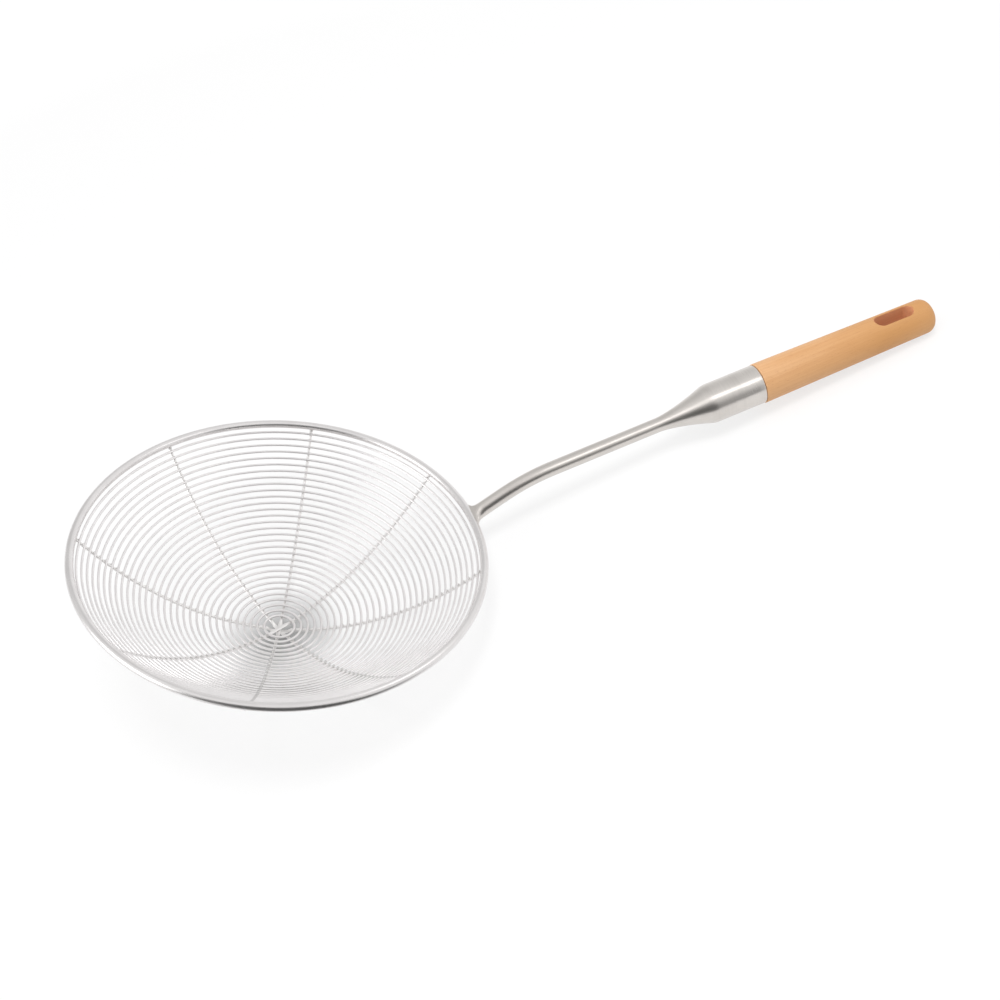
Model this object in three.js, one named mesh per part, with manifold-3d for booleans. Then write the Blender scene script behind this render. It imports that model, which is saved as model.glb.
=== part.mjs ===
// A wire skimmer: a bowl of welded wire rings on rib wires and a rim, a bent steel handle tube,
// and a turned wood grip with a hanging slot. Millimetres, +Z up. It lies as it does on a table,
// on two rib wires and the end of the grip, with the grip towards +X.
import * as THREE from "three";
import { mergeVertices } from "three/addons/utils/BufferGeometryUtils.js";
import Module from "manifold-3d";

const degrees = THREE.MathUtils.degToRad;

// Bowl
const RIM_DIAMETER = 200; // of the rim wire's centreline
const RIM_WIRE = 4.1;
const BOWL_DEPTH = 53.5; // from the rim's plane to the lowest point of the ring surface
const BOWL_STEEPENING = 0.08; // share of the depth that follows the fourth power of the radius
const RING_WIRE = 1.3;
const RING_COUNT = 31;
const FIRST_RING_FROM_RIM = 4.4; // along the slope, from the rim wire's centreline
const LEAST_RING_DIAMETER = 15.3;
const RIB_WIRE = 1.6;
// Each rib wire runs from rim to rim through the middle. They are set by eye, not quite evenly.
const RIB_ANGLES = [degrees(22.5), degrees(64.5), degrees(109.5), degrees(158)];
const CROSSING_WIDTH = 2.2; // of a rib wire, pressed flat in the middle
const CROSSING_THICKNESS = 0.5;
const CROSSING_FADE = 3; // from where the wire is flat to where it is round again

// Handle tube
const STEM_DIAMETER = 7.6;
const STEM_DROP = 1.4; // of the stem's axis below the rim's plane, where it meets the rim
const STEM_RISE = degrees(34); // slope of the stem as it leaves the rim
const FOOT_WIDTH = 10; // of the stem's end, spread and pressed against the rim
const FOOT_HEIGHT = 5;
const FOOT_LENGTH = 9;
const FOOT_START = 0.8; // from the rim wire's centreline
const LOWER_STEM_LENGTH = 21;
const BEND_RADIUS = 95;
const HANDLE_PITCH = degrees(16.6); // slope of the handle after the bend
const UPPER_STEM_LENGTH = 60.5;
const NECK_LENGTH = 30;
const NECK_FLARE = 1.5; // power of the neck's hollow curve
const SOCKET_DIAMETER = 21.2;
const SOCKET_LENGTH = 29.2;
const TUBE_WALL = 0.9;
const BORE_STOP = 12; // solid end of the tube at the rim, measured from the rim wire's centreline

// Grip
const GRIP_LENGTH = 105.3;
const GRIP_FRONT_DIAMETER = 21.8;
const GRIP_BACK_DIAMETER = 19.1;
const BUTT_ROUNDING = 5;
const TENON_END_GAP = 3.5; // from the tenon to the bottom of the socket
const TENON_CHAMFER = 1;
const SLOT_LENGTH = 22.9;
const SLOT_WIDTH = 8.2;
const SLOT_FROM_BUTT = 11.1;

// Clearances
const WIRE_GAP = 0.25; // between wires that are welded where they cross
const CROSSING_GAP = 0.2; // between rib wires stacked in the middle
const WELD_GAP = 0.3; // between the tube's end and the rim wire
const SOCKET_CLEARANCE = 0.3; // around the tenon, and between the grip's shoulder and the tube

// Facets
const RING_SIDES = 5;
const RING_SAG = 0.5; // of a ring's chord inside its circle
const RIM_SIDES = 8;
const RIM_STEPS = 64;
const RIB_SIDES = 6;
const RINGS_PER_RIB_STEP = 2;
const FADE_STEPS = 3;
const TUBE_SIDES = 24;
const FOOT_STEPS = 4;
const BEND_STEPS = 6;
const NECK_STEPS = 8;
const GRIP_SIDES = 32;
const ROUNDING_STEPS = 5;
const SLOT_END_STEPS = 8;
const SLOPE_SAMPLES = 400;

const STEEL_WIRE = { color: 0xd0d2d3, roughness: 0.22, metalness: 1 };
const BRUSHED_STEEL = { color: 0xbfc0c0, roughness: 0.34, metalness: 1 };
const BEECH = { color: 0xdca66b, roughness: 0.55, metalness: 0 };

const { lerp, clamp, smoothstep } = THREE.MathUtils;
const rimRadius = RIM_DIAMETER / 2;
const wasm = await Module();
wasm.setup();

// Solids

// A geometry as a solid that can be cut.
function solidOf(geometry) {
  const bare = new THREE.BufferGeometry();
  bare.setAttribute("position", geometry.getAttribute("position").clone());
  bare.setIndex(geometry.getIndex());
  const merged = mergeVertices(bare);
  const vertProperties = merged.getAttribute("position").array;
  const triVerts = new Uint32Array(merged.getIndex().array);
  return new wasm.Manifold(new wasm.Mesh({ numProp: 3, vertProperties, triVerts }));
}

// The first geometry less the second.
function cut(geometry, tool) {
  const mesh = solidOf(geometry).subtract(solidOf(tool)).getMesh();
  const left = new THREE.BufferGeometry();
  left.setAttribute("position", new THREE.BufferAttribute(mesh.vertProperties, 3));
  left.setIndex(new THREE.BufferAttribute(mesh.triVerts, 1));
  return left;
}

function middleOf(loop) {
  const sum = loop.reduce((total, point) => total.add(point), new THREE.Vector3());
  return sum.divideScalar(loop.length);
}

// Triangles between each loop and the next, for a run of loops with equal numbers of points.
function bandTriangles(loopCount, sides, closed) {
  const triangles = [];
  for (let loop = 0; loop < (closed ? loopCount : loopCount - 1); loop++) {
    const next = (loop + 1) % loopCount;
    for (let side = 0; side < sides; side++) {
      const beside = (side + 1) % sides;
      const [a, b] = [loop * sides + side, loop * sides + beside];
      const [c, d] = [next * sides + beside, next * sides + side];
      triangles.push(a, b, c, a, c, d);
    }
  }
  return triangles;
}

// A skin over a run of loops that ends where it starts.
function closedSkin(loops) {
  const triangles = bandTriangles(loops.length, loops[0].length, true);
  return new THREE.BufferGeometry().setFromPoints(loops.flat()).setIndex(triangles);
}

// A skin over a run of loops, with a fan over each end.
function cappedSkin(loops) {
  const sides = loops[0].length;
  const points = loops.flat();
  const triangles = bandTriangles(loops.length, sides, false);
  const lastLoop = (loops.length - 1) * sides;
  const startMiddle = points.push(middleOf(loops[0])) - 1;
  const endMiddle = points.push(middleOf(loops.at(-1))) - 1;
  for (let side = 0; side < sides; side++) {
    const beside = (side + 1) % sides;
    triangles.push(startMiddle, beside, side);
    triangles.push(endMiddle, lastLoop + side, lastLoop + beside);
  }
  return new THREE.BufferGeometry().setFromPoints(points).setIndex(triangles);
}

// An oval round a centre, from the first direction towards the second.
function oval(centre, first, second, firstHalf, secondHalf, sides) {
  return Array.from({ length: sides }, (_, side) => {
    const turn = (2 * Math.PI * side) / sides;
    return centre
      .clone()
      .addScaledVector(first, firstHalf * Math.cos(turn))
      .addScaledVector(second, secondHalf * Math.sin(turn));
  });
}

// An oval across a run in the XZ plane, in the plane that leans with the given slope.
function ovalAcross(centre, slope, halfWidth, halfHeight, sides) {
  const sideways = new THREE.Vector3(0, 1, 0);
  const upward = new THREE.Vector3(-Math.sin(slope), 0, Math.cos(slope));
  return oval(centre, sideways, upward, halfWidth, halfHeight, sides);
}

// Values from one to another in equal steps, both ends included.
function evenSteps(from, to, steps) {
  return Array.from({ length: steps + 1 }, (_, step) => lerp(from, to, step / steps));
}

// Bowl form

function bowlHeight(radius) {
  const share = radius / rimRadius;
  const rise = (1 - BOWL_STEEPENING) * share ** 2 + BOWL_STEEPENING * share ** 4;
  return BOWL_DEPTH * (rise - 1);
}

function bowlSlope(radius) {
  const share = radius / rimRadius;
  const rise = 2 * (1 - BOWL_STEEPENING) * share + 4 * BOWL_STEEPENING * share ** 3;
  return Math.atan((BOWL_DEPTH / rimRadius) * rise);
}

// Distances along the slope from the middle of the bowl, at evenly spaced radii.
const sampleRadii = evenSteps(0, rimRadius, SLOPE_SAMPLES);
const slopeLengths = [0];
for (let sample = 1; sample <= SLOPE_SAMPLES; sample++) {
  const [inner, outer] = [sampleRadii[sample - 1], sampleRadii[sample]];
  const step = Math.hypot(outer - inner, bowlHeight(outer) - bowlHeight(inner));
  slopeLengths.push(slopeLengths.at(-1) + step);
}
const slopeTotal = slopeLengths.at(-1);

function radiusAtSlope(length) {
  const sample = Math.max(1, slopeLengths.findIndex((reached) => reached >= length));
  const [before, after] = [slopeLengths[sample - 1], slopeLengths[sample]];
  const share = (length - before) / (after - before);
  return lerp(sampleRadii[sample - 1], sampleRadii[sample], share);
}

const ringRun = slopeTotal - FIRST_RING_FROM_RIM - LEAST_RING_DIAMETER / 2;
const ringPitch = ringRun / (RING_COUNT - 1);
const ribEndAngles = [...RIB_ANGLES, ...RIB_ANGLES.map((angle) => angle + Math.PI)];
const ribSectors = ribEndAngles.map((angle, end) => {
  const nextAngle = ribEndAngles[end + 1] ?? RIB_ANGLES[0] + 2 * Math.PI;
  return { angle, nextAngle, width: nextAngle - angle };
});
const leastSector = Math.min(...ribSectors.map((sector) => sector.width));

// Pieces

const restPose = new THREE.Group();

function addPiece(name, geometry, look, parent = restPose) {
  geometry.computeVertexNormals();
  const mesh = new THREE.Mesh(geometry, new THREE.MeshStandardMaterial(look));
  mesh.name = name;
  parent.add(mesh);
  return mesh;
}

function rimGeometry(extra = 0) {
  return new THREE.TorusGeometry(rimRadius, RIM_WIRE / 2 + extra, RIM_SIDES, RIM_STEPS);
}

// A ring has a corner over each rib, so that it seats there at its full radius.
function ringGeometry(radius) {
  const cornersNeeded = Math.PI / Math.acos(1 - RING_SAG / radius);
  const steps = Math.max(2, Math.ceil(cornersNeeded / ribSectors.length));
  const upward = new THREE.Vector3(0, 0, 1);
  const loops = ribSectors.flatMap(({ angle, nextAngle }) =>
    evenSteps(angle, nextAngle, steps).slice(0, -1).map((turn) => {
      const outward = new THREE.Vector3(Math.cos(turn), Math.sin(turn), 0);
      const centre = outward.clone().multiplyScalar(radius);
      return oval(centre, upward, outward, RING_WIRE / 2, RING_WIRE / 2, RING_SIDES);
    }),
  );
  return closedSkin(loops);
}

function addBasketRing(ring) {
  const radius = radiusAtSlope(slopeTotal - FIRST_RING_FROM_RIM - ring * ringPitch);
  const name = `basket_ring_${String(ring + 1).padStart(2, "0")}`;
  const mesh = addPiece(name, ringGeometry(radius), STEEL_WIRE);
  mesh.position.z = bowlHeight(radius);
  return mesh;
}

// Where two pressed rib wires part, measured from the middle of the bowl.
const crossingReach = (CROSSING_WIDTH + CROSSING_GAP) / 2 / Math.sin(leastSector / 2);

function ribStations() {
  const ribEnd = slopeTotal - RIM_WIRE / 2 - WIRE_GAP;
  const plainStart = crossingReach + CROSSING_FADE;
  const plainSteps = Math.ceil((ribEnd - plainStart) / (RINGS_PER_RIB_STEP * ringPitch));
  const half = [
    ...evenSteps(crossingReach, plainStart, FADE_STEPS),
    ...evenSteps(plainStart, ribEnd, plainSteps).slice(1),
  ];
  return [...half.map((distance) => -distance).reverse(), ...half];
}

// A rib wire lies under the rings. In the middle it is pressed flat, at its own level of a stack
// whose top is level with the round wire's.
function ribGeometry(stackPlace) {
  const ringToRib = RING_WIRE / 2 + WIRE_GAP + RIB_WIRE / 2;
  const stackTop = (RIB_WIRE - CROSSING_THICKNESS) / 2;
  const level = stackTop - stackPlace * (CROSSING_THICKNESS + CROSSING_GAP);
  const loops = ribStations().map((distance) => {
    const reach = Math.abs(distance);
    const radius = Math.sign(distance) * radiusAtSlope(reach);
    const slope = bowlSlope(radius);
    const press = 1 - smoothstep(reach, crossingReach, crossingReach + CROSSING_FADE);
    const drop = ringToRib - press * level;
    const x = radius + drop * Math.sin(slope);
    const z = bowlHeight(radius) - drop * Math.cos(slope);
    const width = lerp(RIB_WIRE, CROSSING_WIDTH, press);
    const thickness = lerp(RIB_WIRE, CROSSING_THICKNESS, press);
    return ovalAcross(new THREE.Vector3(x, 0, z), slope, width / 2, thickness / 2, RIB_SIDES);
  });
  return cappedSkin(loops);
}

function addRibWire(rib) {
  const geometry = ribGeometry(rib).rotateZ(RIB_ANGLES[rib]);
  return addPiece(`rib_wire_${rib + 1}`, geometry, STEEL_WIRE);
}

// The handle's axis lies in the XZ plane: a short straight, one bend, then straight to the butt.
const bendLength = BEND_RADIUS * (STEM_RISE - HANDLE_PITCH);
const bendEnd = LOWER_STEM_LENGTH + bendLength;
const neckStart = bendEnd + UPPER_STEM_LENGTH;
const socketStart = neckStart + NECK_LENGTH;
const socketMouth = socketStart + SOCKET_LENGTH;

function axisAt(distance) {
  const lower = Math.min(distance, LOWER_STEM_LENGTH);
  const bent = clamp(distance - LOWER_STEM_LENGTH, 0, bendLength);
  const upper = Math.max(distance - bendEnd, 0);
  const slope = STEM_RISE - bent / BEND_RADIUS;
  const bendX = BEND_RADIUS * (Math.sin(STEM_RISE) - Math.sin(slope));
  const bendZ = BEND_RADIUS * (Math.cos(slope) - Math.cos(STEM_RISE));
  const x = lower * Math.cos(STEM_RISE) + bendX + upper * Math.cos(slope);
  const z = lower * Math.sin(STEM_RISE) + bendZ + upper * Math.sin(slope);
  return { point: new THREE.Vector3(rimRadius + x, 0, z - STEM_DROP), slope };
}

// The tube's section: round along the stem, flared in the neck, and at the foot spread, pressed
// and turned upright against the rim.
function tubeLoop(distance, inset = 0) {
  const { point, slope } = axisAt(distance);
  const flare = clamp((distance - neckStart) / NECK_LENGTH, 0, 1) ** NECK_FLARE;
  const round = lerp(STEM_DIAMETER, SOCKET_DIAMETER, flare);
  const foot = 1 - smoothstep(distance, FOOT_START, FOOT_START + FOOT_LENGTH);
  const halfWidth = lerp(round, FOOT_WIDTH, foot) / 2 - inset;
  const halfHeight = lerp(round, FOOT_HEIGHT, foot) / 2 - inset;
  const lean = slope * (1 - foot);
  return ovalAcross(point, lean, halfWidth, halfHeight / Math.cos(slope - lean), TUBE_SIDES);
}

// The tube is one skin: along the outside to the mouth of the socket, and back along the bore.
function handleTubeGeometry() {
  const foot = evenSteps(FOOT_START, FOOT_START + FOOT_LENGTH, FOOT_STEPS);
  const bend = evenSteps(LOWER_STEM_LENGTH, bendEnd, BEND_STEPS);
  const neck = evenSteps(neckStart, socketStart, NECK_STEPS);
  const outside = [...foot, ...bend, ...neck, socketMouth];
  const inside = [socketMouth, ...neck.toReversed(), ...bend.toReversed(), BORE_STOP];
  const loops = [
    ...outside.map((distance) => tubeLoop(distance)),
    ...inside.map((distance) => tubeLoop(distance, TUBE_WALL)),
  ];
  return cut(cappedSkin(loops), rimGeometry(WELD_GAP));
}

// The grip is turned about its own axis, with y from the mouth of the socket to the butt.
function turnedGrip() {
  const tenonRadius = SOCKET_DIAMETER / 2 - TUBE_WALL - SOCKET_CLEARANCE;
  const tenonEnd = TENON_END_GAP - SOCKET_LENGTH;
  const frontRadius = GRIP_FRONT_DIAMETER / 2;
  const backRadius = GRIP_BACK_DIAMETER / 2;
  const sideEnd = GRIP_LENGTH - BUTT_ROUNDING;
  const buttCentre = backRadius - BUTT_ROUNDING;
  const rounding = new THREE.EllipseCurve(
    buttCentre, sideEnd, BUTT_ROUNDING, BUTT_ROUNDING, 0, Math.PI / 2,
  );
  const profile = [
    new THREE.Vector2(0, tenonEnd),
    new THREE.Vector2(tenonRadius - TENON_CHAMFER, tenonEnd),
    new THREE.Vector2(tenonRadius, tenonEnd + TENON_CHAMFER),
    new THREE.Vector2(tenonRadius, SOCKET_CLEARANCE),
    new THREE.Vector2(frontRadius, SOCKET_CLEARANCE),
    ...rounding.getPoints(ROUNDING_STEPS),
    new THREE.Vector2(0, GRIP_LENGTH),
  ];
  return new THREE.LatheGeometry(profile, GRIP_SIDES).rotateZ(-Math.PI / 2);
}

// The hanging slot runs through the grip from top to bottom.
function hangingSlot() {
  const endRadius = SLOT_WIDTH / 2;
  const slotEnd = GRIP_LENGTH - SLOT_FROM_BUTT;
  const outline = new THREE.Shape();
  outline.absarc(slotEnd - endRadius, 0, endRadius, -Math.PI / 2, Math.PI / 2);
  outline.absarc(slotEnd - SLOT_LENGTH + endRadius, 0, endRadius, Math.PI / 2, 1.5 * Math.PI);
  const depth = 2 * GRIP_FRONT_DIAMETER;
  const options = { depth, bevelEnabled: false, curveSegments: SLOT_END_STEPS };
  return new THREE.ExtrudeGeometry(outline, options).translate(0, 0, -depth / 2);
}

function addGrip() {
  const { point, slope } = axisAt(socketMouth);
  const gripFrame = new THREE.Group();
  gripFrame.position.copy(point);
  gripFrame.rotation.y = -slope;
  restPose.add(gripFrame);
  return addPiece("wood_grip", cut(turnedGrip(), hangingSlot()), BEECH, gripFrame);
}

// Assembly

addPiece("rim_ring", rimGeometry(), STEEL_WIRE);
const basket = [
  ...Array.from({ length: RING_COUNT }, (_, ring) => addBasketRing(ring)),
  ...RIB_ANGLES.map((_, rib) => addRibWire(rib)),
];
addPiece("handle_tube", handleTubeGeometry(), BRUSHED_STEEL);
const grip = addGrip();

function boxOf(...pieces) {
  const box = new THREE.Box3();
  pieces.forEach((piece) => box.expandByObject(piece, true));
  return box;
}

// The tool tips towards its handle until the basket and the grip lie on one level.
const TILT_HALVINGS = 40;
let leastTilt = 0;
let mostTilt = Math.PI / 3;
for (let halving = 0; halving < TILT_HALVINGS; halving++) {
  restPose.rotation.y = (leastTilt + mostTilt) / 2;
  restPose.updateMatrixWorld(true);
  const gripIsHigher = boxOf(grip).min.z > boxOf(...basket).min.z;
  if (gripIsHigher) leastTilt = restPose.rotation.y;
  else mostTilt = restPose.rotation.y;
}

// The origin is on the table, under the middle of the tool.
const extent = boxOf(restPose);
const middle = extent.getCenter(new THREE.Vector3());
restPose.position.set(-middle.x, -middle.y, -extent.min.z);

const skimmer = new THREE.Group();
skimmer.add(restPose);

export default skimmer;
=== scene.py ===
"""Looks of the wire skimmer: smooth wires, welds, a swaged steel handle tube and a beech grip.

Shapes are worked out in millimetres and placed in metres in the part's frame.
"""

import math

import bmesh
import bpy
import numpy as np
from mathutils import Matrix, Vector


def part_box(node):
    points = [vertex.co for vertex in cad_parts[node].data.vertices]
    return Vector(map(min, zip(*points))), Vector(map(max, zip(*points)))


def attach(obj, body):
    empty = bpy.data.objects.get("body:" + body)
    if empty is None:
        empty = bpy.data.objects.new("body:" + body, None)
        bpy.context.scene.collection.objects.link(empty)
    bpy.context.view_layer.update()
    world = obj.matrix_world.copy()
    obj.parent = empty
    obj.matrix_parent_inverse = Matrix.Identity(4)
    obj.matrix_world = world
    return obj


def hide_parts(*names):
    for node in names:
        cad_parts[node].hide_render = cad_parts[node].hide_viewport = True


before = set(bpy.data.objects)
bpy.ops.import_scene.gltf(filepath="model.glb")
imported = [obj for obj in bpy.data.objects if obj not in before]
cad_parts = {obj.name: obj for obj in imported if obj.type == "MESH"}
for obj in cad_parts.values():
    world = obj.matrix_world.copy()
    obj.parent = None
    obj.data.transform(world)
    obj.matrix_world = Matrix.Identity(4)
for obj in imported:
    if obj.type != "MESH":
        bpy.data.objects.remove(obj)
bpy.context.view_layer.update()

MM = 0.001

# Bowl
RIM_RADIUS = 100.0
RIM_WIRE = 4.1
BOWL_DEPTH = 53.5
BOWL_STEEPENING = 0.08
RING_WIRE = 1.3
RING_COUNT = 31
FIRST_RING_FROM_RIM = 4.4
LEAST_RING_DIAMETER = 15.3
RIB_WIRE = 1.6
RIB_ANGLES = [math.radians(angle) for angle in (22.5, 64.5, 109.5, 158.0)]
WIRE_GAP = 0.25
CROSSING_WIDTH = 2.2
CROSSING_THICKNESS = 0.5
CROSSING_FADE = 3.0
CROSSING_GAP = 0.2
RIB_END_LIFT = 0.6
LEAST_RING_STEPS = 48

# Handle tube
STEM_DIAMETER = 7.6
STEM_DROP = 1.4
STEM_RISE = math.radians(34)
FOOT_WIDTH = 10.0
FOOT_HEIGHT = 5.0
FOOT_LENGTH = 9.0
FOOT_START = 0.8
FOOT_FILLET = 3.0
FOOT_BLEND = 4.5
LOWER_STEM_LENGTH = 21.0
BEND_RADIUS = 95.0
HANDLE_PITCH = math.radians(16.6)
UPPER_STEM_LENGTH = 60.5
NECK_LENGTH = 30.0
NECK_FLARE = 1.5
NECK_SOFTENING = 2.0
SOCKET_DIAMETER = 21.2
SOCKET_LENGTH = 29.2
TUBE_WALL = 0.9
BORE_STOP = 12.0
LIP_ROUNDING = 0.3
FOOT_RIM_SHARE = 0.93
FOOT_DETAIL = 10.0
NECK_LEAD = 2.0
NECK_TAIL = 4.0
PROFILE_MARGIN = 10.0
BRUSHED_FROM_NECK = 12.0
BRUSHED_FROM_SOCKET = 1.0

# Grip
GRIP_LENGTH = 105.3
GRIP_FRONT_RADIUS = 10.9
GRIP_BACK_RADIUS = 9.55
BUTT_ROUNDING = 5.0
SHOULDER_GAP = 0.3
SHOULDER_ROUNDING = 0.5
TENON_RADIUS = 9.4
TENON_START = -25.7
TENON_CHAMFER = 1.0
SLOT_LENGTH = 22.9
SLOT_WIDTH = 8.2
SLOT_FROM_BUTT = 11.1
SLOT_ROUNDING = 0.7
BUTT_RING_RADIUS = 2.2
POLE_RADIUS = 0.01

# How the tool lies on the table
TILT = math.radians(21.265034)
rim_low, rim_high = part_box("rim_ring")
RIM_CENTRE = np.array((rim_low + rim_high) / 2) / MM


def to_frame(points):
    """Points of the untilted tool, with the rim's centre as origin, in the part's frame in metres."""
    x, y, z = np.moveaxis(np.asarray(points, float), -1, 0)
    turned = np.stack(
        [
            x * math.cos(TILT) + z * math.sin(TILT),
            y,
            z * math.cos(TILT) - x * math.sin(TILT),
        ],
        axis=-1,
    )
    return (turned + RIM_CENTRE) * MM


def smoothstep(value, low, high):
    share = np.clip((value - low) / (high - low), 0, 1)
    return share * share * (3 - 2 * share)


def mix_of(low, high, share):
    return low + (high - low) * share


# Meshes


def turns_of(steps):
    return np.linspace(0, 2 * math.pi, steps, endpoint=False)


def run_lengths(loops, closed):
    """Distance along the run of loops to each loop, and to its end."""
    middles = loops.mean(axis=1)
    following = np.roll(middles, -1, axis=0) if closed else middles[1:]
    steps = np.linalg.norm(following - middles[: len(following)], axis=1)
    return np.concatenate([[0], np.cumsum(steps)])


def skin_faces(loop_count, sides, closed):
    """Four-sided faces over a run of loops, as rows of point numbers."""
    loop = np.arange(loop_count if closed else loop_count - 1)[:, None]
    side = np.arange(sides)[None, :]
    following, beside = (loop + 1) % loop_count, (side + 1) % sides
    corners = [
        loop * sides + side,
        loop * sides + beside,
        following * sides + beside,
        following * sides + side,
    ]
    return np.stack(corners, axis=-1).reshape(-1, 4)


def finish_mesh(mesh):
    """Makes the faces point outwards and shades them smoothly."""
    shape = bmesh.new()
    shape.from_mesh(mesh)
    bmesh.ops.remove_doubles(shape, verts=shape.verts, dist=1e-7)
    bmesh.ops.recalc_face_normals(shape, faces=shape.faces)
    shape.to_mesh(mesh)
    shape.free()
    mesh.shade_smooth()


def add_object(name, mesh, material):
    piece = bpy.data.objects.new(name, mesh)
    mesh.materials.append(material)
    bpy.context.scene.collection.objects.link(piece)
    return piece


def wire_piece(name, loops, material, closed):
    """A skin over a run of loops, with its length and girth in metres as its UV map."""
    count, sides = loops.shape[:2]
    quads = skin_faces(count, sides, closed)
    faces = quads.tolist()
    if not closed:
        faces += [list(range(sides)), list(range((count - 1) * sides, count * sides))]
    mesh = bpy.data.meshes.new(name)
    mesh.from_pydata(loops.reshape(-1, 3).tolist(), [], faces)

    along = run_lengths(loops, closed)
    girth = np.linalg.norm(loops - np.roll(loops, 1, axis=1), axis=2).sum(axis=1).mean()
    rows = len(quads) // sides
    row = np.repeat(np.arange(rows), sides)
    side = np.tile(np.arange(sides), rows)
    across = np.stack([side, side + 1, side + 1, side], axis=1) * girth / sides
    onward = np.stack([along[row], along[row], along[row + 1], along[row + 1]], axis=1)
    corners = np.zeros((len(mesh.loops), 2))
    corners[: 4 * len(quads)] = np.stack([onward, across], axis=-1).reshape(-1, 2)
    layer = mesh.uv_layers.new(name="wire")
    layer.data.foreach_set("uv", corners.astype(np.float32).ravel())

    finish_mesh(mesh)
    return add_object(name, mesh, material)


# Material nodes


def add_node(tree, kind, inputs=None, **settings):
    made = tree.nodes.new("ShaderNode" + kind)
    for name, value in settings.items():
        setattr(made, name, value)
    for key, value in (inputs or {}).items():
        if isinstance(value, bpy.types.NodeSocket):
            tree.links.new(value, made.inputs[key])
        else:
            made.inputs[key].default_value = value
    return made


def calc(tree, operation, *values):
    return add_node(tree, "Math", dict(enumerate(values)), operation=operation).outputs[0]


def ramp(tree, factor, stops):
    made = add_node(tree, "ValToRGB", {"Fac": factor})
    elements = made.color_ramp.elements
    while len(elements) < len(stops):
        elements.new(0.5)
    for element, (place, colour) in zip(elements, stops):
        element.position = place
        element.color = (*colour, 1) if isinstance(colour, tuple) else (colour,) * 3 + (1,)
    return made.outputs["Color"]


def blend(tree, factor, first, second):
    made = add_node(tree, "Mix", {0: factor, 6: first, 7: second}, data_type="RGBA")
    return made.outputs[2]


def weighted(tree, first, first_weight, second, second_weight):
    return calc(
        tree,
        "ADD",
        calc(tree, "MULTIPLY", first, first_weight),
        calc(tree, "MULTIPLY", second, second_weight),
    )


def grey(level):
    return (level, level, level, 1)


def noise(tree, place, stretch, scale, detail=3.0, roughness=0.55):
    mapped = add_node(tree, "Mapping", {"Vector": place, "Scale": stretch})
    inputs = {
        "Vector": mapped.outputs["Vector"],
        "Scale": scale,
        "Detail": detail,
        "Roughness": roughness,
    }
    return add_node(tree, "TexNoise", inputs).outputs["Fac"]


def spread(tree, value, low, high, to_low, to_high):
    inputs = {"Value": value, 1: low, 2: high, 3: to_low, 4: to_high}
    return add_node(tree, "MapRange", inputs).outputs["Result"]


def new_material(name):
    material = bpy.data.materials.new(name)
    material.use_nodes = True
    material.node_tree.nodes.clear()
    return material, material.node_tree


def end_material(tree, shader):
    add_node(tree, "OutputMaterial", {"Surface": shader.outputs[0]})


# Painted shade: the rings are darkened in lines along the front halves of the two middle ribs.
PAINTED_RIB_SHADE = (0.66, 0.645, 0.64)
RIB_SHADE_CORE = 0.0005
RIB_SHADE_REACH = 0.001
RIB_SHADE_FROM = -0.025
RIB_SHADE_TO = -0.01


def painted_rib_shade(tree, place):
    """Share of painted shade on the rings: one on the front halves of the two middle rib lines, which
    show as dark lines on the rings.
    """
    untilted = add_node(
        tree,
        "Mapping",
        {"Vector": place, "Location": RIM_CENTRE * MM, "Rotation": (0, TILT, 0)},
        vector_type="TEXTURE",
    )
    off_lines = []
    for angle in RIB_ANGLES[1:3]:
        across = (math.sin(angle), -math.cos(angle), 0)
        inputs = {0: untilted.outputs["Vector"], 1: across}
        off_line = add_node(tree, "VectorMath", inputs, operation="DOT_PRODUCT")
        off_lines.append(calc(tree, "ABSOLUTE", off_line.outputs["Value"]))
    on_line = spread(tree, calc(tree, "MINIMUM", *off_lines), RIB_SHADE_CORE, RIB_SHADE_REACH, 1.0, 0.0)
    toward_back = add_node(tree, "SeparateXYZ", {"Vector": untilted.outputs["Vector"]}).outputs["Y"]
    in_front = spread(tree, toward_back, RIB_SHADE_FROM, RIB_SHADE_TO, 1.0, 0.0)
    return calc(tree, "MULTIPLY", on_line, in_front)


def steel(name, light, dark, smoothest, roughest, line_depth, rib_shade=None):
    """Drawn steel: fine lines along the wire, soft patches of tone and gloss, and where given,
    painted shade along the front halves of two rib lines.
    """
    material, tree = new_material(name)
    place = add_node(tree, "UVMap", uv_map="wire").outputs["UV"]
    room = add_node(tree, "TexCoord").outputs["Object"]
    lines = noise(tree, place, (30, 6000, 1), 1.0, detail=4)
    patches = noise(tree, room, (1, 1, 1), 90.0)
    tone = weighted(tree, lines, 0.5, patches, 0.5)
    colour = ramp(tree, tone, [(0.3, dark), (0.7, light)])
    if rib_shade:
        # Painted shade on the rings along the front rib lines.
        colour = blend(tree, painted_rib_shade(tree, room), colour, (*rib_shade, 1))
    gloss = spread(tree, tone, 0.3, 0.7, roughest, smoothest)
    bump = add_node(tree, "Bump", {"Strength": 0.25, "Distance": line_depth, "Height": lines})
    shader = add_node(
        tree,
        "BsdfPrincipled",
        {
            "Base Color": colour,
            "Metallic": 1.0,
            "Roughness": gloss,
            "Normal": bump.outputs["Normal"],
        },
    )
    end_material(tree, shader)
    return material


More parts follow.
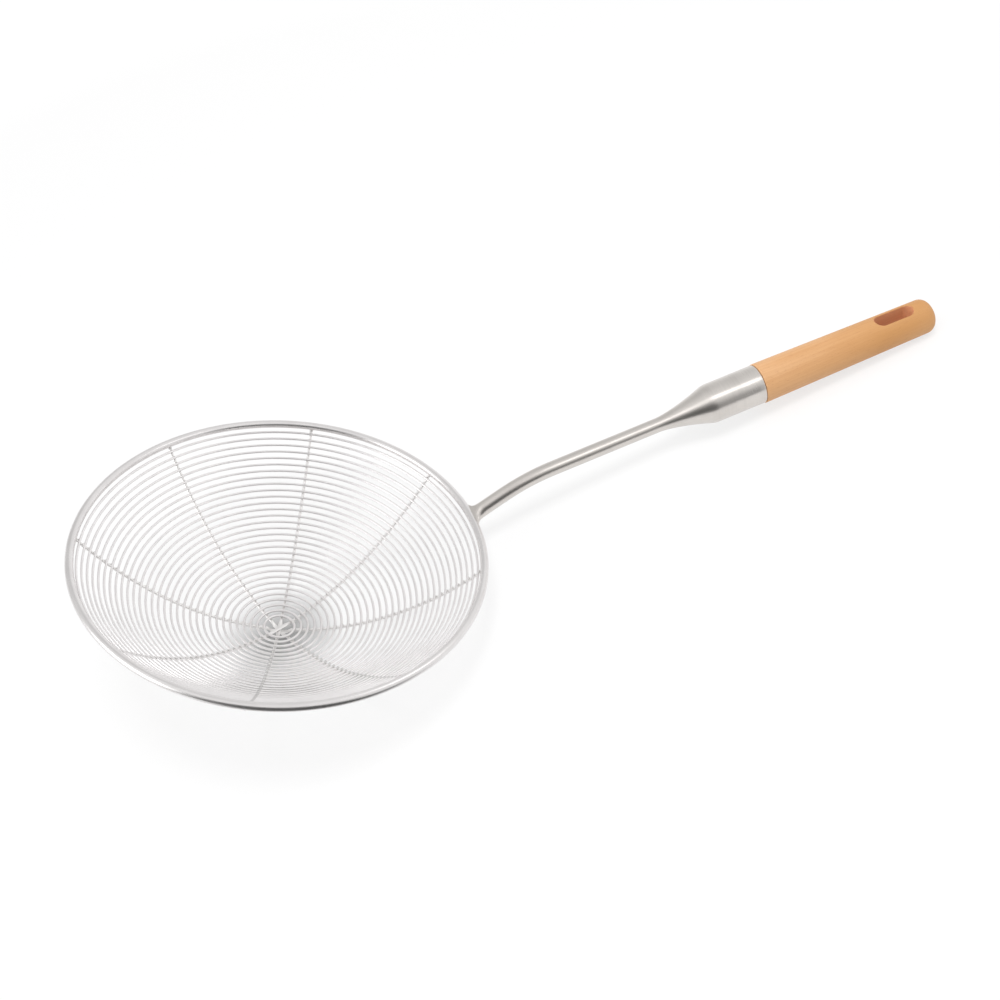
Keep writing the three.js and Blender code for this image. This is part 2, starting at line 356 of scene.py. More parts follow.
def handle_steel():
    """Steel tube: polished along the stem, and brushed round the socket."""
    material, tree = new_material("handle_steel")
    place = add_node(tree, "UVMap", uv_map="wire").outputs["UV"]
    room = add_node(tree, "TexCoord").outputs["Object"]
    along = add_node(tree, "SeparateXYZ", {"Vector": place}).outputs["X"]
    brush_start = (neck_start + BRUSHED_FROM_NECK) * MM
    brush_full = (socket_start + BRUSHED_FROM_SOCKET) * MM
    on_socket = spread(tree, along, brush_start, brush_full, 0.0, 1.0)
    drawn = noise(tree, place, (25, 5000, 1), 1.0, detail=4)
    turned = noise(tree, place, (6500, 40, 1), 1.0, detail=4)
    lines = add_node(tree, "Mix", {0: on_socket, 2: drawn, 3: turned}).outputs[0]
    patches = noise(tree, room, (1, 1, 1), 70.0)
    tone = weighted(tree, lines, 0.6, patches, 0.4)
    colour = ramp(tree, tone, [(0.3, (0.585, 0.555, 0.525)), (0.7, (0.72, 0.685, 0.65))])
    gloss = spread(tree, tone, 0.3, 0.7, 0.36, 0.26)
    bump = add_node(tree, "Bump", {"Strength": 0.25, "Distance": 0.00003, "Height": lines})
    tangent = add_node(tree, "Tangent", direction_type="UV_MAP", uv_map="wire").outputs["Tangent"]
    shader = add_node(
        tree,
        "BsdfPrincipled",
        {
            "Base Color": colour,
            "Metallic": 1.0,
            "Roughness": gloss,
            "Anisotropic": calc(tree, "MULTIPLY", on_socket, 0.75),
            "Tangent": tangent,
            "Normal": bump.outputs["Normal"],
        },
    )
    end_material(tree, shader)
    return material


PALE_AT_SOCKET = (0.70, 0.42, 0.225, 1)
PALE_AT_BUTT = (0.61, 0.335, 0.147, 1)
TAN_AT_SOCKET = (0.62, 0.337, 0.15, 1)
TAN_AT_BUTT = (0.54, 0.266, 0.092, 1)
STREAK = (0.52, 0.25, 0.095, 1)
YEAR_BAND = (0.53, 0.26, 0.10, 1)
FLECK = (0.42, 0.19, 0.075, 1)
SCORCH_DARK = (0.62, 0.28, 0.14, 1)
SCORCH_LIGHT = (0.80, 0.41, 0.225, 1)


def beech():
    """Turned beech: growth bands, streaks and short flecks along the grip, scorched in the slot."""
    material, tree = new_material("beech")
    place = add_node(tree, "TexCoord").outputs["Object"]
    warp = noise(tree, place, (6, 30, 30), 1.0, detail=2)
    pith = add_node(
        tree,
        "Mapping",
        {"Vector": place, "Location": (0, 0.022, 0.046), "Rotation": (0, 0.02, 0.03)},
    )
    apart = add_node(tree, "SeparateXYZ", {"Vector": pith.outputs["Vector"]})
    across = calc(tree, "POWER", apart.outputs["Y"], 2.0)
    upward = calc(tree, "POWER", apart.outputs["Z"], 2.0)
    radius = calc(tree, "SQRT", calc(tree, "ADD", across, upward))
    years = calc(tree, "FRACT", weighted(tree, radius, 420.0, warp, 1.3))
    bands = ramp(tree, years, [(0.0, 0.25), (0.1, 0.05), (0.7, 0.35), (0.95, 1.0), (1.0, 0.25)])
    streaks = noise(tree, place, (14, 800, 800), 1.0, detail=5, roughness=0.6)
    clouds = noise(tree, place, (18, 60, 60), 1.0, detail=2)
    specks = noise(tree, place, (420, 3400, 3400), 1.0, detail=1)
    flecks = spread(tree, specks, 0.62, 0.7, 0.0, 1.0)

    along = add_node(tree, "SeparateXYZ", {"Vector": place}).outputs["X"]
    to_butt = spread(tree, along, 0.01, 0.07, 0.0, 1.0)
    pale = blend(tree, to_butt, PALE_AT_SOCKET, PALE_AT_BUTT)
    tan = blend(tree, to_butt, TAN_AT_SOCKET, TAN_AT_BUTT)
    ground = blend(tree, spread(tree, clouds, 0.3, 0.7, 0.0, 0.75), pale, tan)
    streaked = blend(tree, spread(tree, streaks, 0.42, 0.75, 0.0, 0.4), ground, STREAK)
    banded = blend(tree, calc(tree, "MULTIPLY", bands, 0.22), streaked, YEAR_BAND)
    flecked = blend(tree, calc(tree, "MULTIPLY", flecks, 0.3), banded, FLECK)
    scorch = add_node(tree, "Attribute", attribute_name="scorch").outputs["Fac"]
    scorched = blend(tree, streaks, SCORCH_DARK, SCORCH_LIGHT)
    colour = blend(tree, scorch, flecked, scorched)

    gloss = spread(tree, streaks, 0.3, 0.7, 0.44, 0.6)
    relief = calc(tree, "SUBTRACT", streaks, calc(tree, "MULTIPLY", flecks, 0.6))
    bump = add_node(tree, "Bump", {"Strength": 0.25, "Distance": 0.00006, "Height": relief})
    shader = add_node(
        tree,
        "BsdfPrincipled",
        {
            "Base Color": colour,
            "Roughness": gloss,
            "Specular IOR Level": 0.28,
            "Normal": bump.outputs["Normal"],
        },
    )
    end_material(tree, shader)
    return material


# Bowl form


def bowl_height(radius):
    share = radius / RIM_RADIUS
    return BOWL_DEPTH * ((1 - BOWL_STEEPENING) * share**2 + BOWL_STEEPENING * share**4 - 1)


def bowl_slope(radius):
    share = radius / RIM_RADIUS
    rise = 2 * (1 - BOWL_STEEPENING) * share + 4 * BOWL_STEEPENING * share**3
    return np.arctan(BOWL_DEPTH / RIM_RADIUS * rise)


slope_radii = np.linspace(0, RIM_RADIUS, 2001)
slope_steps = np.hypot(np.diff(slope_radii), np.diff(bowl_height(slope_radii)))
slope_lengths = np.concatenate([[0], np.cumsum(slope_steps)])
slope_total = slope_lengths[-1]


def radius_at_slope(length):
    return np.interp(length, slope_lengths, slope_radii)


ring_lengths = np.linspace(
    slope_total - FIRST_RING_FROM_RIM, LEAST_RING_DIAMETER / 2, RING_COUNT
)
rib_end_angles = RIB_ANGLES + [angle + math.pi for angle in RIB_ANGLES]
least_sector = min(np.diff(RIB_ANGLES + [RIB_ANGLES[0] + math.pi]))
crossing_reach = (CROSSING_WIDTH + CROSSING_GAP) / 2 / math.sin(least_sector / 2)
ring_to_rib = RING_WIRE / 2 + WIRE_GAP + RIB_WIRE / 2
rib_end = slope_total - RIM_WIRE / 2 - WIRE_GAP


def ring_loops(radius, height, wire, step_length, sides):
    steps = max(LEAST_RING_STEPS, round(2 * math.pi * radius / step_length))
    turn = turns_of(steps)[:, None]
    side = turns_of(sides)[None, :]
    reach = radius + wire / 2 * np.cos(side)
    level = height + wire / 2 * np.sin(side)
    return np.stack(
        [reach * np.cos(turn), reach * np.sin(turn), np.broadcast_to(level, (steps, sides))],
        axis=-1,
    )


def turned_about_z(points, angle):
    x, y, z = np.moveaxis(points, -1, 0)
    return np.stack(
        [
            x * math.cos(angle) - y * math.sin(angle),
            x * math.sin(angle) + y * math.cos(angle),
            z,
        ],
        axis=-1,
    )


def rib_loops(stack_place, sides=14):
    """A rib wire along X, from rim to rim, pressed flat in the middle at its level of the stack."""
    plain_start = crossing_reach + CROSSING_FADE
    half = np.concatenate(
        [
            np.linspace(0, crossing_reach, 4),
            np.linspace(crossing_reach, plain_start, 11)[1:],
            np.linspace(plain_start, rib_end, 61)[1:],
        ]
    )
    distance = np.concatenate([-half[:0:-1], half])
    reach = np.abs(distance)
    radius = np.sign(distance) * radius_at_slope(reach)
    slope = bowl_slope(radius)
    press = 1 - smoothstep(reach, crossing_reach, plain_start)
    stack_top = (RIB_WIRE - CROSSING_THICKNESS) / 2
    level = stack_top - stack_place * (CROSSING_THICKNESS + CROSSING_GAP)
    first_ring = slope_total - FIRST_RING_FROM_RIM
    end_lift = RIB_END_LIFT * smoothstep(reach, first_ring, rib_end)
    drop = ring_to_rib - press * level - end_lift
    half_width = mix_of(RIB_WIRE, CROSSING_WIDTH, press) / 2
    half_height = mix_of(RIB_WIRE, CROSSING_THICKNESS, press) / 2
    x = radius + drop * np.sin(slope)
    z = bowl_height(radius) - drop * np.cos(slope)
    side = turns_of(sides)[None, :]
    rise = half_height[:, None] * np.sin(side)
    return np.stack(
        [
            x[:, None] - rise * np.sin(slope)[:, None],
            half_width[:, None] * np.cos(side),
            z[:, None] + rise * np.cos(slope)[:, None],
        ],
        axis=-1,
    )


BEAD_SIDES = 10
BEAD_BELTS = 7
WELD_DROP = 0.6
WELD_SIZES = (0.78, 1.0, 0.8)
END_WELD_DROP = ring_to_rib - RIB_END_LIFT
END_WELD_SHIFT = -0.1
END_WELD_SIZES = (1.0, 1.0, 0.7)


def bead(centre, along_ring, along_rib, inward, sizes):
    """Loops of a small oval bead of weld."""
    turn = turns_of(BEAD_SIDES)[None, :]
    lift = np.radians(np.linspace(-80, 80, BEAD_BELTS))[:, None]
    axes = [
        np.cos(lift) * np.cos(turn),
        np.cos(lift) * np.sin(turn),
        np.broadcast_to(np.sin(lift), (BEAD_BELTS, BEAD_SIDES)),
    ]
    directions = np.array([along_ring, along_rib, inward])
    return centre + sum(
        size * axis[..., None] * direction
        for size, axis, direction in zip(sizes, axes, directions)
    )


def bead_on_rib(length, drop, shift, sizes):
    """Loops of a bead on a rib line along X, at a length up the bowl's slope."""
    radius = radius_at_slope(length)
    slope = bowl_slope(radius)
    x = radius + drop * math.sin(slope) + shift
    z = bowl_height(radius) - drop * math.cos(slope)
    along_rib = [math.cos(slope), 0, math.sin(slope)]
    inward = [-math.sin(slope), 0, math.cos(slope)]
    return bead(np.array([x, 0, z]), [0, 1, 0], along_rib, inward, sizes)


def weld_beads():
    """A bead where each ring crosses each rib, and one where each rib meets the rim."""
    beads = []
    for angle in rib_end_angles:
        on_rib = [bead_on_rib(length, WELD_DROP, 0.0, WELD_SIZES) for length in ring_lengths]
        on_rib.append(bead_on_rib(rib_end, END_WELD_DROP, END_WELD_SHIFT, END_WELD_SIZES))
        beads += [turned_about_z(loops, angle) for loops in on_rib]
    return beads


# Handle tube

bend_length = BEND_RADIUS * (STEM_RISE - HANDLE_PITCH)
bend_end = LOWER_STEM_LENGTH + bend_length
neck_start = bend_end + UPPER_STEM_LENGTH
socket_start = neck_start + NECK_LENGTH
socket_mouth = socket_start + SOCKET_LENGTH


def axis_at(distance):
    """X and Z of the handle's axis at a distance from the rim wire's centreline, and its slope."""
    lower = min(distance, LOWER_STEM_LENGTH)
    bent = min(max(distance - LOWER_STEM_LENGTH, 0), bend_length)
    upper = max(distance - bend_end, 0)
    slope = STEM_RISE - bent / BEND_RADIUS
    bend_x = BEND_RADIUS * (math.sin(STEM_RISE) - math.sin(slope))
    bend_z = BEND_RADIUS * (math.cos(slope) - math.cos(STEM_RISE))
    x = RIM_RADIUS + lower * math.cos(STEM_RISE) + bend_x + upper * math.cos(slope)
    z = lower * math.sin(STEM_RISE) + bend_z + upper * math.sin(slope) - STEM_DROP
    return x, z, slope


profile_places = np.linspace(neck_start - PROFILE_MARGIN, socket_mouth + PROFILE_MARGIN, 2001)
profile_flare = np.clip((profile_places - neck_start) / NECK_LENGTH, 0, 1) ** NECK_FLARE
profile_radii = mix_of(STEM_DIAMETER, SOCKET_DIAMETER, profile_flare) / 2
soft_window = round(NECK_SOFTENING / (profile_places[1] - profile_places[0]))
soft_radii = np.convolve(
    np.pad(profile_radii, soft_window, mode="edge"),
    np.ones(2 * soft_window + 1) / (2 * soft_window + 1),
    mode="valid",
)


def tube_radius(distance):
    return np.interp(distance, profile_places, soft_radii)


def tube_loop(distance, inset=0.0, sides=56):
    """The tube's section. At the foot it spreads, flattens and runs into the rim wire in a fillet."""
    x, z, slope = axis_at(distance)
    foot = 1 - smoothstep(distance, FOOT_START, FOOT_START + FOOT_LENGTH)
    lean = slope * (1 - foot)
    radius = tube_radius(distance)
    half_width = mix_of(radius, FOOT_WIDTH / 2, foot) - inset
    half_height = (mix_of(radius, FOOT_HEIGHT / 2, foot) - inset) / math.cos(slope - lean)
    joint = 1 - smoothstep(distance, 0.0, FOOT_BLEND)
    clear_of_rim = np.clip((x - RIM_RADIUS - RIM_WIRE / 2) / FOOT_FILLET, 0, 1)
    half_width += FOOT_FILLET * (1 - math.sqrt(1 - (1 - clear_of_rim) ** 2))
    half_height = mix_of(half_height, FOOT_RIM_SHARE * RIM_WIRE / 2, joint)
    z = mix_of(z, 0.0, joint)
    side = turns_of(sides)
    y = half_width * np.cos(side)
    rise = half_height * np.sin(side)
    round_the_rim = joint * (RIM_RADIUS - np.sqrt(RIM_RADIUS**2 - y**2))
    return np.stack(
        [x - round_the_rim - rise * math.sin(lean), y, z + rise * math.cos(lean)], axis=-1
    )


def handle_tube_loops():
    outside = np.concatenate(
        [
            np.linspace(0, FOOT_DETAIL, 21),
            np.linspace(FOOT_DETAIL, LOWER_STEM_LENGTH, 5)[1:],
            np.linspace(LOWER_STEM_LENGTH, bend_end, 17)[1:],
            np.linspace(bend_end, neck_start - NECK_LEAD, 13)[1:],
            np.linspace(neck_start - NECK_LEAD, socket_start + NECK_TAIL, 41)[1:],
            np.linspace(socket_start + NECK_TAIL, socket_mouth - LIP_ROUNDING, 9)[1:],
        ]
    )
    inside = np.concatenate(
        [
            np.linspace(socket_mouth - LIP_ROUNDING, socket_start, 5),
            np.linspace(socket_start, neck_start, 11)[1:],
            np.linspace(neck_start, bend_end, 4)[1:],
            np.linspace(bend_end, BORE_STOP, 9)[1:],
        ]
    )
    loops = [tube_loop(distance) for distance in outside]
    for lift in np.radians((22.5, 45, 67.5, 90)):
        back = LIP_ROUNDING * (1 - math.sin(lift))
        loops.append(tube_loop(socket_mouth - back, LIP_ROUNDING * (1 - math.cos(lift))))
    loops.append(tube_loop(socket_mouth, TUBE_WALL - LIP_ROUNDING / 2))
    loops += [tube_loop(distance, TUBE_WALL) for distance in inside]
    return np.array(loops)


# Grip, in its own frame: X from the mouth of the socket to the butt, Z up along the slot

side_end = GRIP_LENGTH - BUTT_ROUNDING
slot_high = GRIP_LENGTH - SLOT_FROM_BUTT
slot_low = slot_high - SLOT_LENGTH


def side_radius(place):
    """Radius of the grip's side at a distance from the mouth of the socket."""
    return np.interp(place, [SHOULDER_GAP, side_end], [GRIP_FRONT_RADIUS, GRIP_BACK_RADIUS])


GRIP_COLUMNS = 72
PATCH_COLUMNS = 8
PATCH_ROWS = 24
PATCH_BEFORE_SLOT = 4.5
PATCH_PAST_SLOT = 4.0
PATCH_LOW = slot_low - PATCH_BEFORE_SLOT
PATCH_HIGH = slot_high + PATCH_PAST_SLOT
ROW_TOLERANCE = 0.01
SCORCH_START = 0.05
SCORCH_FULL = 0.6


def on_side(place, turn):
    """Points on the grip's side, at a turn from the top."""
    radius = side_radius(place)
    return np.stack([place, radius * np.sin(turn), radius * np.cos(turn)], axis=-1)


def patch_border():
    """Place and turn of the points round the patch that holds the slot's mouth."""
    turn = 2 * math.pi * PATCH_COLUMNS / GRIP_COLUMNS
    places = np.linspace(PATCH_LOW, PATCH_HIGH, PATCH_ROWS + 1)[:-1]
    turns = np.linspace(-turn, turn, 2 * PATCH_COLUMNS + 1)[:-1]
    border_places = [
        places,
        np.full(len(turns), PATCH_HIGH),
        (PATCH_LOW + PATCH_HIGH) - places,
        np.full(len(turns), PATCH_LOW),
    ]
    border_turns = [np.full(len(places), -turn), turns, np.full(len(places), turn), -turns]
    return np.concatenate(border_places), np.concatenate(border_turns)


def slot_outline(offset):
    """X and Y round the slot at an offset from its wall, a point for each of the patch's border."""
    end_radius = SLOT_WIDTH / 2
    middle_low, middle_high = slot_low + end_radius, slot_high - end_radius
    arc = end_radius * math.pi / 4
    straight = middle_high - middle_low
    travel = np.linspace(0, straight + 2 * arc, PATCH_ROWS + 1)[:-1]
    low_turn = np.radians(225) + np.minimum(travel, arc) / end_radius
    high_turn = np.radians(270) + np.maximum(travel - arc - straight, 0) / end_radius
    turn = np.where(travel < arc, low_turn, high_turn)
    middle = middle_low + np.clip(travel - arc, 0, straight)
    end_turn = np.radians(np.linspace(-45, 45, 2 * PATCH_COLUMNS + 1)[:-1])
    turns = np.concatenate([turn, end_turn, turn + math.pi, end_turn + math.pi])
    middles = np.concatenate(
        [
            middle,
            np.full(len(end_turn), middle_high),
            middle_low + middle_high - middle,
            np.full(len(end_turn), middle_low),
        ]
    )
    reach = end_radius + offset
    return middles + reach * np.cos(turns), reach * np.sin(turns)


def slot_loops():
    """Loops from the patch's border, over the slot's rounded edge and down to its middle."""
    border_place, border_turn = patch_border()
    edge_x, edge_y = slot_outline(SLOT_ROUNDING)
    edge_turn = np.arcsin(edge_y / side_radius(edge_x))
    loops = [
        on_side(mix_of(border_place, edge_x, share), mix_of(border_turn, edge_turn, share))
        for share in np.linspace(0, 1, 7)
    ]
    for lift in np.radians((72, 54, 36, 18, 0)):
        x, y = slot_outline(SLOT_ROUNDING * (1 - math.cos(lift)))
        depth = SLOT_ROUNDING * (1 - math.sin(lift))
        loops.append(np.stack([x, y, np.sqrt(side_radius(x) ** 2 - y**2) - depth], axis=-1))
    wall = loops[-1]
    for share in np.linspace(1, 0, 7)[1:]:
        loops.append(wall * np.array([1, 1, share]))
    return np.array(loops)


def grip_mesh():
    """The grip as one closed skin. The patches round the slot's two mouths meet its side's grid."""
    turn = turns_of(GRIP_COLUMNS)[None, :]
    front = np.radians(np.linspace(0, 90, 5))
    butt = np.radians(np.linspace(0, 90, 11))[1:]
    side_places = np.concatenate(
        [
            np.linspace(SHOULDER_GAP + SHOULDER_ROUNDING, PATCH_LOW, 41)[1:],
            np.linspace(PATCH_LOW, PATCH_HIGH, PATCH_ROWS + 1)[1:],
            [side_end],
        ]
    )
    profile = [
        (TENON_START, POLE_RADIUS),
        (TENON_START, TENON_RADIUS - TENON_CHAMFER),
        (TENON_START + TENON_CHAMFER, TENON_RADIUS),
        (SHOULDER_GAP, TENON_RADIUS),
        *zip(
            SHOULDER_GAP + SHOULDER_ROUNDING * (1 - np.cos(front)),
            GRIP_FRONT_RADIUS - SHOULDER_ROUNDING * (1 - np.sin(front)),
        ),
        *zip(side_places, side_radius(side_places)),
        *zip(
            side_end + BUTT_ROUNDING * np.sin(butt),
            GRIP_BACK_RADIUS - BUTT_ROUNDING * (1 - np.cos(butt)),
        ),
        (GRIP_LENGTH, BUTT_RING_RADIUS),
        (GRIP_LENGTH, POLE_RADIUS),
    ]
    place, radius = np.array(profile).T[:, :, None]
    along = np.broadcast_to(place, (len(profile), GRIP_COLUMNS))
    grid = np.stack([along, radius * np.sin(turn), radius * np.cos(turn)], axis=-1)
    faces = skin_faces(len(profile), GRIP_COLUMNS, False)
    row, column = np.divmod(np.arange(len(faces)), GRIP_COLUMNS)
    past_low = place[row, 0] > PATCH_LOW - ROW_TOLERANCE
    before_high = place[row + 1, 0] < PATCH_HIGH + ROW_TOLERANCE
    from_top = (column + PATCH_COLUMNS) % (GRIP_COLUMNS // 2)
    faces = faces[~(past_low & before_high & (from_top < 2 * PATCH_COLUMNS))]

    upper = slot_loops()
    lower = upper * np.array([1, 1, -1])
    points, all_faces = [grid.reshape(-1, 3)], [faces]
    start = len(points[0])
    for loops in (upper, lower):
        points.append(loops.reshape(-1, 3))
        all_faces.append(skin_faces(len(loops), loops.shape[1], False) + start)
        start += len(points[-1])
    mesh = bpy.data.meshes.new("grip_of_beech")
    corners = np.concatenate(points) * MM
    mesh.from_pydata(corners.tolist(), [], np.concatenate(all_faces).tolist())
    finish_mesh(mesh)

    final = np.zeros(3 * len(mesh.vertices), np.float32)
    mesh.vertices.foreach_get("co", final)
    x, y, z = final.reshape(-1, 3).T / MM
    depth = np.where(x > PATCH_LOW, side_radius(x) - np.hypot(y, z), 0)
    depth = np.where(x < slot_high + SLOT_ROUNDING, depth, 0)
    scorch = mesh.attributes.new("scorch", "FLOAT", "POINT")
    share = smoothstep(depth, SCORCH_START, SCORCH_FULL)
    scorch.data.foreach_set("value", share.astype(np.float32))
    return mesh


# Pieces

RIM_STEEL = steel(
    "rim_steel",
    light=(0.83, 0.81, 0.805),
    dark=(0.71, 0.69, 0.685),
    smoothest=0.24,
    roughest=0.34,
    line_depth=0.00003,
)
WIRE_STEEL = steel(
    "basket_steel",
    light=(0.94, 0.92, 0.918),
    dark=(0.83, 0.81, 0.808),
    smoothest=0.33,
    roughest=0.45,
    line_depth=0.00002,
    # painted shade on the rings along the front rib lines
    rib_shade=PAINTED_RIB_SHADE,
)
RIB_STEEL = steel(
    "rib_steel",
    light=(0.96, 0.945, 0.935),
    dark=(0.87, 0.855, 0.845),
    smoothest=0.38,
    roughest=0.5,
    line_depth=0.00002,
)
WELD_STEEL = steel(
    "weld_steel",
    light=(0.86, 0.85, 0.84),
    dark=(0.76, 0.75, 0.74),
    smoothest=0.48,
    roughest=0.6,
    line_depth=0.00003,
)

rim = wire_piece(
    "rim_of_wire",
    to_frame(ring_loops(RIM_RADIUS, 0.0, RIM_WIRE, step_length=2.0, sides=24)),
    RIM_STEEL,
    closed=True,
)
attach(rim, "root")
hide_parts("rim_ring")

for number, length in enumerate(ring_lengths, 1):
    radius = radius_at_slope(length)
    height = bowl_height(radius)
    loops = ring_loops(radius, height, RING_WIRE, step_length=3.0, sides=10)
    ring = wire_piece(f"ring_{number:02d}", to_frame(loops), WIRE_STEEL, closed=True)
    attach(ring, "root")
    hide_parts(f"basket_ring_{number:02d}")

for number, angle in enumerate(RIB_ANGLES, 1):
    loops = turned_about_z(rib_loops(number - 1), angle)
    rib = wire_piece(f"rib_{number}", to_frame(loops), RIB_STEEL, closed=False)
    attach(rib, "root")
    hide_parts(f"rib_wire_{number}")

beads = [
    wire_piece("bead", to_frame(loops), WELD_STEEL, closed=False) for loops in weld_beads()
]
with bpy.context.temp_override(
    active_object=beads[0],
    object=beads[0],
    selected_objects=beads,
    selected_editable_objects=beads,
):
    bpy.ops.object.join()
welds = beads[0]
welds.name = "basket_welds"
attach(welds, "root")

tube_loops = to_frame(handle_tube_loops())
tube = wire_piece("tube_of_steel", tube_loops, handle_steel(), closed=False)
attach(tube, "root")
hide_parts("handle_tube")

grip = add_object("grip_of_beech", grip_mesh(), beech())
mouth_x, mouth_z, mouth_slope = axis_at(socket_mouth)
grip_origin = Vector(to_frame([mouth_x, 0, mouth_z]))
grip_turn = Matrix.Rotation(TILT - mouth_slope, 4, "Y")
grip.matrix_world = Matrix.Translation(grip_origin) @ grip_turn
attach(grip, "root")
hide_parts("wood_grip")


# Stage: a pale floor in a light dome, which the camera looks through to a white background

DOME_RADIUS = 12.0
LEFT_LIGHT = (-0.91, -0.06, 0.41)
LEFT_LIGHT_EDGE = 0.88
LEFT_LIGHT_CORE = 0.97
LEFT_LIGHT_GLOW = 3.0
RIGHT_EDGE = 0.3
RIGHT_CORE = 0.52
RIGHT_GLOW = 0.95
CARD_PLACE = (-0.17, -0.31, 0.001)
CARD_SIZE = (0.24, 0.18, 1.0)
CARD_CORE = 0.75
CARD_REACH = 1.2
CARD_SHADE = 0.08
# Painted shadow: a darker, unlifted round patch of floor under the bowl's bottom.
HUB_PLACE = (-0.16, -0.002, 0.0)
HUB_CORE = 0.006
HUB_REACH = 0.036
HUB_PAINTED_SHADOW = 0.4
FLOOR_SHADE = 0.25
FLOOR_GLOW = 0.71
FLOOR_LIFT_FROM = 0.6
FLOOR_LIFT_TO = 1.6
FLOOR_BOUNCE = 0.9
FLOOR_FRONT = -0.42
FLOOR_HALF = 4.0


def white_world():
    world = bpy.data.worlds.new("white")
    bpy.context.scene.world = world
    world.use_nodes = True
    world.cycles.sampling_method = "NONE"
    tree = world.node_tree
    tree.nodes.clear()
    white = add_node(tree, "Background", {"Color": (1, 1, 1, 1), "Strength": 1.0})
    add_node(tree, "OutputWorld", {"Surface": white.outputs[0]})


def dome_material():
    """A studio that is dark low in front, bright above, white at the right, brightest at the left."""
    material, tree = new_material("light_dome")
    place = add_node(tree, "NewGeometry").outputs["Position"]
    toward = add_node(tree, "VectorMath", {0: place}, operation="NORMALIZE").outputs["Vector"]
    apart = add_node(tree, "SeparateXYZ", {"Vector": toward})
    to_front = calc(tree, "MULTIPLY", apart.outputs["Y"], -1.0)
    arch = calc(tree, "DIVIDE", calc(tree, "ARCTAN2", apart.outputs["Z"], to_front), math.pi)
    lean = spread(tree, apart.outputs["X"], -0.3, 0.2, 0.12, 0.0)
    tone = ramp(
        tree,
        calc(tree, "SUBTRACT", arch, lean),
        [
            (0.02, 0.09),
            (0.10, 0.12),
            (0.15, 0.28),
            (0.19, 0.62),
            (0.24, 0.9),
            (0.30, 1.0),
            (0.36, 1.0),
            (0.42, 0.98),
            (0.48, 0.95),
            (0.55, 0.88),
            (0.63, 0.76),
            (0.72, 0.7),
            (0.8, 0.72),
            (0.9, 0.82),
            (1.0, 0.92),
        ],
    )
    at_right = spread(tree, apart.outputs["X"], RIGHT_EDGE, RIGHT_CORE, 0.0, 1.0)
    tone = blend(tree, at_right, tone, grey(RIGHT_GLOW))
    facing = add_node(tree, "VectorMath", {0: toward, 1: LEFT_LIGHT}, operation="DOT_PRODUCT")
    at_left = spread(tree, facing.outputs["Value"], LEFT_LIGHT_EDGE, LEFT_LIGHT_CORE, 0.0, 1.0)
    tone = blend(tree, at_left, tone, grey(LEFT_LIGHT_GLOW))
    end_material(tree, add_node(tree, "Emission", {"Color": tone, "Strength": 1.0}))
    material.cycles.emission_sampling = "NONE"
    return material


def card_material():
    """Dark card with a soft edge."""
    material, tree = new_material("dark_card")
    place = add_node(tree, "NewGeometry").outputs["Position"]
    on_card = add_node(
        tree,
        "Mapping",
        {"Vector": place, "Location": CARD_PLACE, "Scale": CARD_SIZE},
        vector_type="TEXTURE",
    )
    from_middle = add_node(tree, "VectorMath", {0: on_card.outputs["Vector"]}, operation="LENGTH")
    share = spread(tree, from_middle.outputs["Value"], CARD_CORE, CARD_REACH, 1.0, 0.0)
    dark = add_node(tree, "BsdfDiffuse", {"Color": grey(CARD_SHADE)})
    clear = add_node(tree, "BsdfTransparent")
    inputs = {0: share, 1: clear.outputs[0], 2: dark.outputs[0]}
    end_material(tree, add_node(tree, "MixShader", inputs))
    return material


def floor_material():
    """Pale floor, lifted to white where it is seen or mirrored, with a painted shadow under the
    bowl's bottom.
    """
    material, tree = new_material("floor")
    path = add_node(tree, "LightPath").outputs
    place = add_node(tree, "NewGeometry").outputs["Position"]
    from_hub = add_node(tree, "VectorMath", {0: place, 1: HUB_PLACE}, operation="DISTANCE")
    seen = calc(tree, "MAXIMUM", path["Is Camera Ray"], path["Is Glossy Ray"])
    seen = calc(tree, "MAXIMUM", seen, path["Is Transmission Ray"])
    apart = from_hub.outputs["Value"]
    # Painted shadow round the hub: the floor there takes a darker paint and no lift.
    clear = spread(tree, apart, HUB_CORE, HUB_REACH, 0.0, 1.0)
    shade = blend(tree, clear, grey(HUB_PAINTED_SHADOW), grey(FLOOR_SHADE))
    paint = blend(tree, seen, grey(FLOOR_BOUNCE), shade)
    matt = add_node(tree, "BsdfDiffuse", {"Color": paint})
    lift = spread(tree, apart, FLOOR_LIFT_FROM, FLOOR_LIFT_TO, FLOOR_GLOW, 1.0)
    shine = calc(tree, "MULTIPLY", calc(tree, "MULTIPLY", seen, clear), lift)
    glow = add_node(tree, "Emission", {"Color": (1, 1, 1, 1), "Strength": shine})
    end_material(tree, add_node(tree, "AddShader", {0: matt.outputs[0], 1: glow.outputs[0]}))
    material.cycles.emission_sampling = "NONE"
    return material


def flat_stage(name, low, high, height, material):
    mesh = bpy.data.meshes.new(name)
    corners = [(low[0], low[1]), (high[0], low[1]), (high[0], high[1]), (low[0], high[1])]
    mesh.from_pydata([(x, y, height) for x, y in corners], [], [(0, 1, 2, 3)])
    piece = add_object(name, mesh, material)
    return piece


def area_lamp(name, place, width, depth, power):
    """A lamp that shines straight down and that the camera doesn't see."""
    light = bpy.data.lights.new(name, "AREA")
    light.shape = "RECTANGLE"
    light.size, light.size_y = width, depth
    light.energy = power
    lamp = bpy.data.objects.new(name, light)
    lamp.location = place
    lamp.visible_camera = False
    bpy.context.scene.collection.objects.link(lamp)
    return lamp


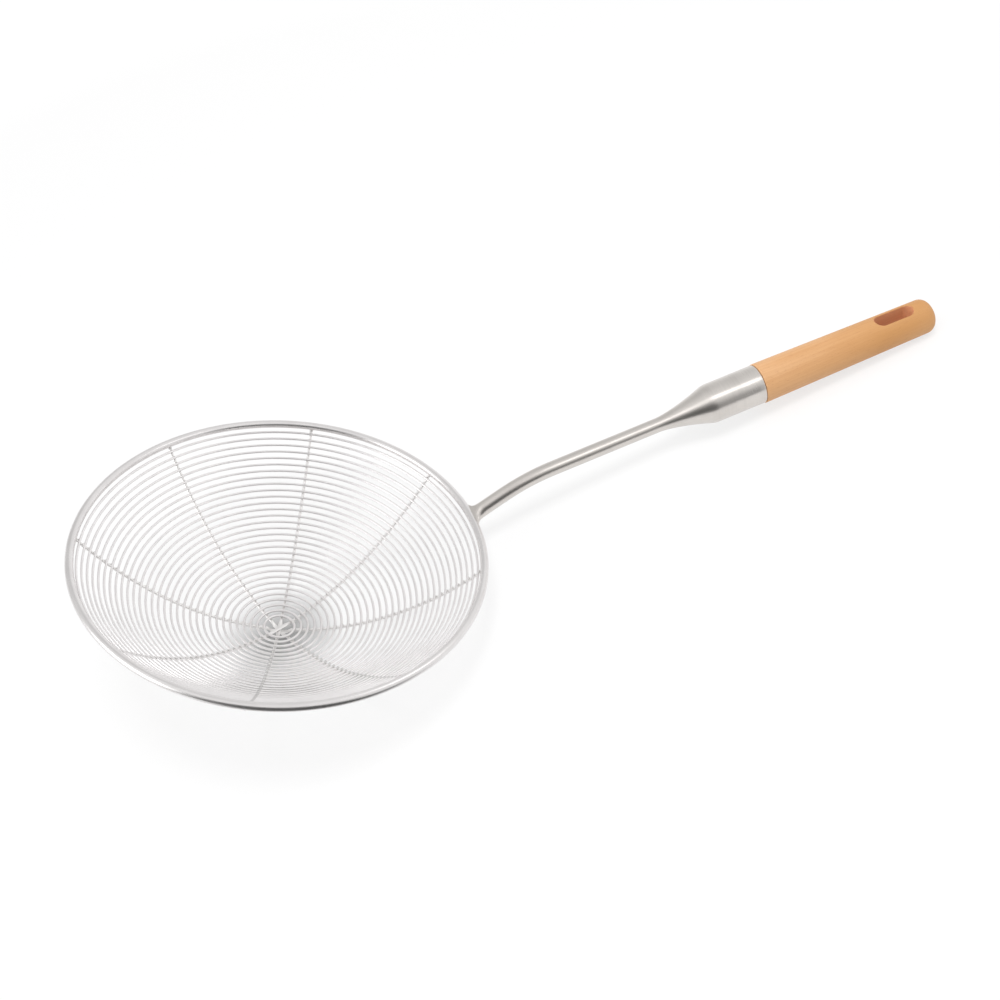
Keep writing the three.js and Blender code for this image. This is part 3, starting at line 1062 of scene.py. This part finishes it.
white_world()
floor_low, floor_high = (-FLOOR_HALF, FLOOR_FRONT), (FLOOR_HALF, FLOOR_HALF)
flat_stage("floor", floor_low, floor_high, 0.0, floor_material())

dome_mesh = bpy.data.meshes.new("light_dome")
dome_form = bmesh.new()
bmesh.ops.create_uvsphere(dome_form, u_segments=24, v_segments=12, radius=DOME_RADIUS)
dome_form.to_mesh(dome_mesh)
dome_form.free()
dome = add_object("light_dome", dome_mesh, dome_material())
dome.visible_camera = False

card_low = [CARD_PLACE[axis] - CARD_REACH * CARD_SIZE[axis] for axis in range(2)]
card_high = [CARD_PLACE[axis] + CARD_REACH * CARD_SIZE[axis] for axis in range(2)]
card = flat_stage("dark_card", card_low, card_high, CARD_PLACE[2], card_material())
card.visible_camera = False
card.visible_diffuse = False
card.visible_shadow = False

overhead = area_lamp("overhead", (0.0, -0.32, 1.5), width=0.4, depth=0.4, power=8.0)
overhead.visible_glossy = False
area_lamp("strip_over_handle", (0.175, -0.092, 0.25), width=0.25, depth=0.09, power=0.088)

# Camera, placed and turned as seen from the untilted bowl
CAMERA_PLACE = np.array([-155.340, -495.664, 488.092])
CAMERA_FORWARD = np.array([0.36543, 0.66798, -0.64828])
CAMERA_UP = np.array([0.16858, 0.63744, 0.75183])
CAMERA_LENS = 51.81

camera_data = bpy.data.cameras.new("camera")
camera_data.sensor_width = 36.0
camera_data.lens = CAMERA_LENS
camera_data.clip_start = 0.01
camera = bpy.data.objects.new("camera", camera_data)
camera_place = Vector(to_frame(CAMERA_PLACE))
camera_ahead = Vector(to_frame(CAMERA_PLACE + CAMERA_FORWARD))
camera_above = Vector(to_frame(CAMERA_PLACE + CAMERA_UP))
camera_back = (camera_place - camera_ahead).normalized()
camera_right = (camera_above - camera_place).cross(camera_back).normalized()
camera_axes = Matrix((camera_right, camera_back.cross(camera_right), camera_back)).transposed()
camera.matrix_world = Matrix.Translation(camera_place) @ camera_axes.to_4x4()
bpy.context.scene.collection.objects.link(camera)
bpy.context.scene.camera = camera

bpy.context.scene.view_settings.view_transform = "Standard"
